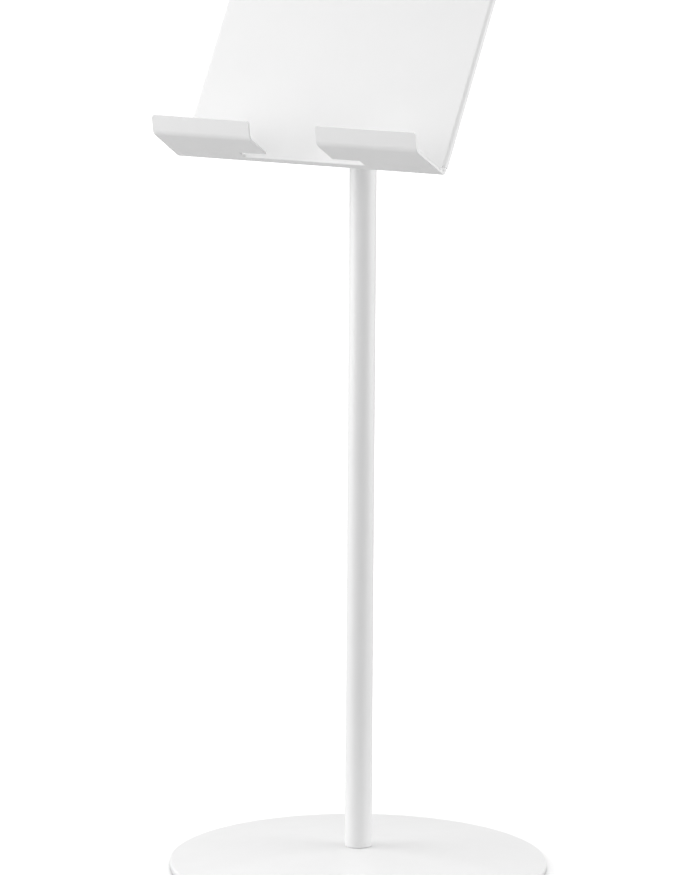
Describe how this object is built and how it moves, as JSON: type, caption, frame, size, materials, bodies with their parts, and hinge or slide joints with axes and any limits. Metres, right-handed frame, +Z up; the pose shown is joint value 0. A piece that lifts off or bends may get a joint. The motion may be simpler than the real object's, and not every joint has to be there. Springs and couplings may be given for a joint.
{
  "type": "music stand",
  "caption": "Floor stand that holds sheet music, a book or a tablet: a folded sheet desk with a slotted, lipped ledge tilts and turns on a round post over a weighted disc base.",
  "frame": {"origin": "on the floor, under the axis of the post", "axes": "+Z up along the post, -Y the way the desk faces, X across the desk"},
  "size_m": [0.39, 0.39, 1.0315],
  "materials": {
    "white_powder_coat": "fine-textured satin powder coat on steel sheet and tube",
    "zinc_plated_steel": "bright zinc plate, dulled",
    "cast_iron": "as cast, matte",
    "natural_nylon": "machined, off-white",
    "black_rubber": "matte"
  },
  "bodies": {
    "stand": {"base_cover": "white_powder_coat", "ballast_weight": "cast_iron", "bottom_plate": "zinc_plated_steel", "bottom_plate_screw_1": "zinc_plated_steel", "bottom_plate_screw_2": "zinc_plated_steel", "bottom_plate_screw_3": "zinc_plated_steel", "bottom_plate_screw_4": "zinc_plated_steel", "floor_pad_1": "black_rubber", "floor_pad_2": "black_rubber", "floor_pad_3": "black_rubber", "floor_pad_4": "black_rubber", "post_washer": "zinc_plated_steel", "post_lock_washer": "zinc_plated_steel", "post_bolt": "zinc_plated_steel", "post_foot_plug": "zinc_plated_steel", "post_tube": "white_powder_coat", "upper_bush": "natural_nylon", "lower_bush": "natural_nylon", "swivel_grub_screw": "zinc_plated_steel"},
    "head": {"head_spindle": "zinc_plated_steel"},
    "desk": {"desk": "white_powder_coat", "hinge_bracket_left": "white_powder_coat", "hinge_bracket_right": "white_powder_coat", "friction_washer_left": "natural_nylon", "friction_washer_right": "natural_nylon", "tilt_washer_left": "zinc_plated_steel", "tilt_washer_right": "zinc_plated_steel", "tilt_disc_spring_1": "zinc_plated_steel", "tilt_disc_spring_2": "zinc_plated_steel", "tilt_nut": "zinc_plated_steel", "tilt_bolt": "zinc_plated_steel", "desk_stud_1": "zinc_plated_steel", "desk_stud_2": "zinc_plated_steel", "desk_stud_3": "zinc_plated_steel", "desk_stud_4": "zinc_plated_steel", "stud_washer_1": "zinc_plated_steel", "stud_washer_2": "zinc_plated_steel", "stud_washer_3": "zinc_plated_steel", "stud_washer_4": "zinc_plated_steel", "stud_nut_1": "zinc_plated_steel", "stud_nut_2": "zinc_plated_steel", "stud_nut_3": "zinc_plated_steel", "stud_nut_4": "zinc_plated_steel"}
  },
  "joints": [
    {"name": "head_swivel", "type": "hinge", "parent": "stand", "child": "head", "pos_m": [0, 0, 0.83], "axis": [0, 0, 1], "continuous": true},
    {"name": "desk_tilt", "type": "hinge", "parent": "head", "child": "desk", "pos_m": [0, 0, 0.85977], "axis": [-1, 0, 0], "range_deg": [-31, 59]}
  ]
}
